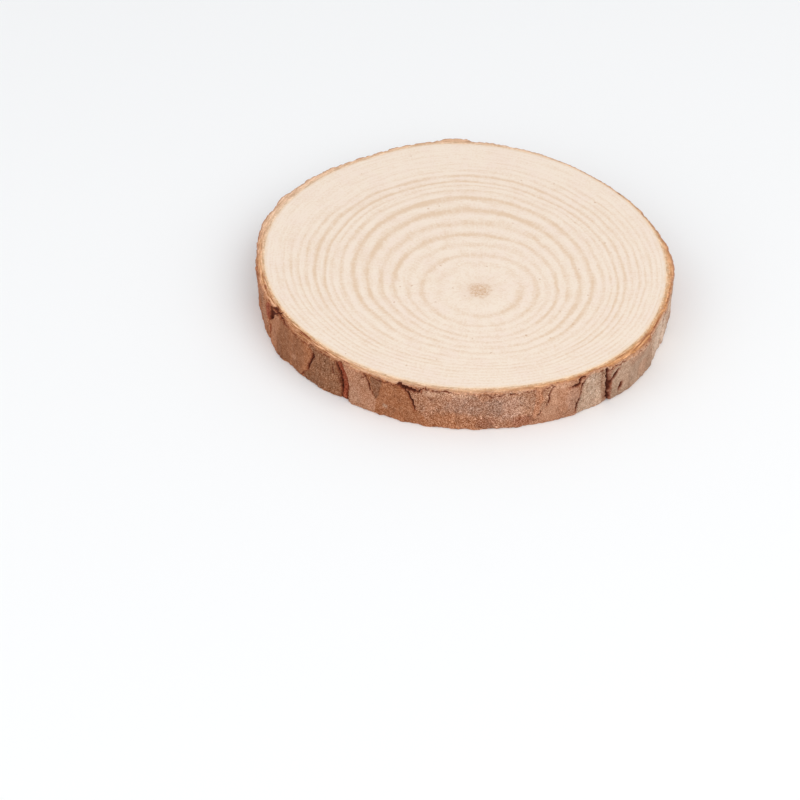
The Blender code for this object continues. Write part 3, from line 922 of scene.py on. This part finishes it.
def layOutBark(ring, degrees, heights, share):
    # the map for baking: a row for each quarter, in which the upper rim, the wall, the lower rim and the
    # inner wall follow each other down
    mesh = ring.data
    corners = np.zeros(len(mesh.loops), int)
    mesh.loops.foreach_get("vertex_index", corners)
    corners = corners.reshape(-1, 4)
    rim, inner = bark["mappedRim"], bark["mappedInnerWall"]
    height = cut["thickness"]
    onTop, onFoot = heights > height - 1e-4, heights < 1e-4
    lower = np.where(onFoot, rim + height + rim * share, rim + height - heights)
    down = np.where(onTop, rim * (1 - share), lower)[corners]
    isInner = (share[corners] > 0.99).all(axis=1)[:, None]
    down = np.where(isInner & onTop[corners], 2 * rim + height + inner, down)

    angles = degrees[corners]
    middles = (angles[:, :1] + turnBetween(angles, angles[:, :1]).mean(axis=1, keepdims=True)) % 360.0
    row = np.floor(middles / 90.0)
    along = turnBetween(angles, row * 90.0 + 45.0) / 90.0 + 0.5
    margin = 0.5                      # left free above and below each row, in mm
    total = 2 * rim + height + inner + 2 * margin
    places = np.stack([0.01 + 0.98 * along, (row + (down + margin) / total) / 4], axis=-1)
    mesh.uv_layers.new(name="OFBake").uv.foreach_set("vector", places.astype(np.float32).ravel())


def shapeBark(ring):
    inside, outside = bark["blankInside"], bark["blankOutside"]
    points = readPoints(ring)
    radii, evenDegrees = toPolar(points[:, 0], points[:, 1])
    heights = points[:, 2].copy()
    share = np.clip((outside - radii) / (outside - inside), 0.0, 1.0)
    layOutBark(ring, evenDegrees, heights, share)
    densest, crowding = bark["crowding"]
    degrees = evenDegrees - np.degrees(crowding * np.sin(np.radians(evenDegrees - densest)))
    thickness, colour, marks = surfaceOf(degrees, heights)
    inner = woodRadius(degrees)
    reach = inner + thickness * (1 - share) - bark["sunkIntoWood"] * share

    # the rims: torn down at the outer edge, soft and a little low across, but the foot's inner half is flat
    onTop, onFoot = heights > cut["thickness"] - 1e-4, heights < 1e-4
    drop = 0.10 + 0.42 * np.clip(barkNoise(degrees, heights * 0, 0.8, 3.0, 111.0) + 0.15, 0, 1)
    soft = 0.04 + 0.05 * np.clip(barkNoise(degrees, share * 8, 0.5, 1.0, 117.0), 0, 1)
    edgeDrop = drop * smoothStep(1 - share * 3.5) + soft
    up = smoothStep((heights - 8.6) / 1.4)
    down = smoothStep((0.8 - heights) / 0.8)
    isFlat = onFoot & (share > 0.5)
    points[:, 2] = heights - edgeDrop * up + np.where(isFlat, 0.0, 0.3 * edgeDrop * down)
    points[:, 0], points[:, 1] = fromPolar(cut["middle"], reach, degrees)
    low, high = (np.array(corner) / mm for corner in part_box("bark"))
    points = np.clip(points, low, high)
    writePoints(ring, points)

    marks["sawn"] = (onTop | onFoot) & (share > 0.01)
    marks["fromWood"], marks["fromEdge"] = thickness * (1 - share), thickness * share
    for name in ("rimPaleness", "rimLayers"):
        marks[name] = aroundTable(bark[name], degrees)
    for name, values in marks.items():
        paintPoints(ring, name, values)
    paintPoints(ring, "skinTone", colour, "FLOAT_COLOR", "color")


def makeBarkMaterial():
    material, tree, shader = newMaterial("pine bark")
    coords = coordsInMm(tree)
    skin, = readAttributes(tree, "skinTone", output="Color")
    groove, torn, specked, sawn = readAttributes(tree, "groove", "torn", "specked", "sawn")
    fromWood, fromEdge = readAttributes(tree, "fromWood", "fromEdge")
    paleness, layers = readAttributes(tree, "rimPaleness", "rimLayers")

    # patches, then granules and pale specks, most on rough plates, that leave the hue as it is
    specks, grain = addFlecks(tree, coords, 0.55, 0.34, 0.38)
    patches = spread(tree, noiseAt(tree, coords, 2.6, 3.0, 0.6), 0.45, 0.60)
    patches = times(tree, patches, spread(tree, specked, 0.0, 1.0, (0.05, 0.28)))
    colour = blend(tree, patches, skin, bark["tones"]["rust"])
    grit = vary(tree, noiseAt(tree, coords, 0.22, 1.0), *bark["grit"])
    grit = add(tree, grit, vary(tree, grain, *bark["grain"]))
    grit = times(tree, grit, spread(tree, specked, 0.0, 1.0, (0.40, 1.0)))
    patchy = spread(tree, noiseAt(tree, coords, 3.0), 0.35, 0.6, (0.0, bark["specks"]))
    pale = times(tree, times(tree, specks, specked), patchy)
    grit = add(tree, grit, pale)
    cloudy = vary(tree, noiseAt(tree, coords, 1.0, 3.0, 0.6), -0.05, 0.05)
    colour = lighten(tree, colour, add(tree, grit, cloudy))

    # torn inner bark, with fibres, and the cracks: red-brown where shallow, near black where deep, the near
    # black being painted shade in the cracks, hollows and gaps
    stretched = addNode(tree, "ShaderNodeMapping", {"Vector": coords, "Scale": (1.0, 1.0, 0.25)}).outputs[0]
    fibres = noiseAt(tree, stretched, 0.35, 3.0)
    innerBark = blend(tree, 0.4, colour, bark["innerBark"])
    innerBark = lighten(tree, innerBark, vary(tree, fibres, -0.10, 0.08))
    colour = blend(tree, torn, colour, innerBark)
    colour = blend(tree, spread(tree, groove, 0.15, 0.5, (0.0, 0.8)), colour, bark["redCrack"])
    colour = blend(tree, spread(tree, groove, 0.4, 0.8, (0.0, 0.95)), colour, bark["shadedCrack"])

    # the sawn rim: pale by the wood, then orange, dark at its outer edge, in layers that run round it
    heading = headingFrom(tree, coords, cut["middle"])
    teeth = vary(tree, noiseAt(tree, coords, 0.7), -0.25, 0.25)
    inwards = add(tree, fromWood, teeth)
    outwards = add(tree, fromEdge, teeth)
    rim = blend(tree, spread(tree, inwards, 0.08, 0.42), bark["rimByWood"], bark["rimInner"])
    rim = blend(tree, spread(tree, inwards, 0.45, 1.0), rim, bark["rimMiddle"])
    rim = blend(tree, spread(tree, outwards, 0.60, 0.10), rim, bark["rimOuter"])
    rim = blend(tree, paleness, rim, bark["rimPale"])
    streaks = noiseAround(tree, heading, 16.0, fromWood, 2.2, 3.0, 0.6)
    _, rimGrain = addFlecks(tree, coords, 0.5, 0.28, 0.4)
    uneven = vary(tree, streaks, -0.10, 0.10)
    uneven = add(tree, uneven, vary(tree, rimGrain, -0.06, 0.06))
    awayFromWood = spread(tree, fromWood, 0.3, 0.8)
    layered = times(tree, layers, awayFromWood)
    ridges = noiseAround(tree, heading, 12.0, fromWood, 5.0)
    ridges = times(tree, spread(tree, ridges, 0.35, 0.65, (-0.11, 0.10)), layered)
    rosy = times(tree, spread(tree, layers, 0.7, 1.6, (0.0, 0.5)), awayFromWood)
    rim = blend(tree, rosy, rim, bark["tones"]["rose"])
    rim = lighten(tree, rim, add(tree, uneven, ridges))
    lines = noiseAround(tree, heading, 9.0, fromWood, 1.9)
    broken = spread(tree, rimGrain, 0.35, 0.6, (0.4, 1.0))
    lines = times(tree, spread(tree, lines, 0.53, 0.62), broken)
    rim = blend(tree, times(tree, lines, layered), rim, bark["rimPore"])
    colour = blend(tree, sawn, colour, rim)

    height = add(tree, times(tree, grain, 0.6), times(tree, specks, 0.3))
    bump = addNode(tree, "ShaderNodeBump", {"Height": height, "Strength": 0.8, "Distance": 0.2 * mm})
    roughness = vary(tree, grain, 0.78, 0.95)
    plugIn(tree, shader, {"Base Color": colour, "Roughness": roughness, "Specular IOR Level": 0.25,
                          "Normal": bump.outputs[0]})
    return material


def makeBark():
    ring = modelRingBlank()
    shapeBark(ring)
    ring.data.materials.append(makeBarkMaterial())
    bpy.ops.object.shade_smooth_by_angle(angle=math.radians(50))
    finishPiece(ring, "bark")


# the camera, the floor and a soft studio light

studio = {
    "cameraAt": (-14.61, -400.94, 315.61),
    "cameraTilt": 49.0,
    "lens": 100.0,
    "sensor": 36.0,
    "floorSize": 6.0,
    "floorGap": 0.03,
    "floorColour": (0.93, 0.93, 0.925, 1.0),
    "sky": (0.95, 0.97, 1.0, 1.0),
    "skyStrength": 0.70,
    # place in metres, size in metres, watts, colour
    "lamps": (
        ((0.45, -0.45, 0.70), 1.0, 4.2, (1.0, 0.985, 0.965)),
        ((-0.7, -0.5, 0.45), 1.0, 2.8, (0.98, 0.99, 1.0)),
    ),
}


def makeStudio():
    bpy.ops.object.camera_add(location=[part * mm for part in studio["cameraAt"]],
                              rotation=(math.radians(studio["cameraTilt"]), 0, 0))
    camera = bpy.context.object
    camera.data.lens = studio["lens"]
    camera.data.sensor_width = studio["sensor"]
    camera.data.clip_start = 0.01
    bpy.context.scene.camera = camera

    bpy.ops.mesh.primitive_plane_add(size=studio["floorSize"], location=(0, 0, -studio["floorGap"] * mm))
    floor = bpy.context.object
    floor.name = "floor"
    material, tree, shader = newMaterial("white card")
    plugIn(tree, shader, {"Base Color": studio["floorColour"], "Roughness": 0.9, "Specular IOR Level": 0.1})
    floor.data.materials.append(material)

    world = bpy.data.worlds.new("studio")
    world.use_nodes = True
    background = world.node_tree.nodes["Background"]
    background.inputs["Color"].default_value = studio["sky"]
    background.inputs["Strength"].default_value = studio["skyStrength"]
    bpy.context.scene.world = world
    for place, size, watts, colour in studio["lamps"]:
        aim = (-Vector(place)).to_track_quat('-Z', 'Y').to_euler()
        bpy.ops.object.light_add(type='AREA', location=place, rotation=aim)
        lamp = bpy.context.object.data
        lamp.size = size
        lamp.energy = watts
        lamp.color = colour
    bpy.context.scene.view_settings.view_transform = 'Standard'


bpy.ops.object.select_all(action='DESELECT')
makeWood()
print("wood done")
makeBark()
print("bark done")
makeStudio()
print("studio done")
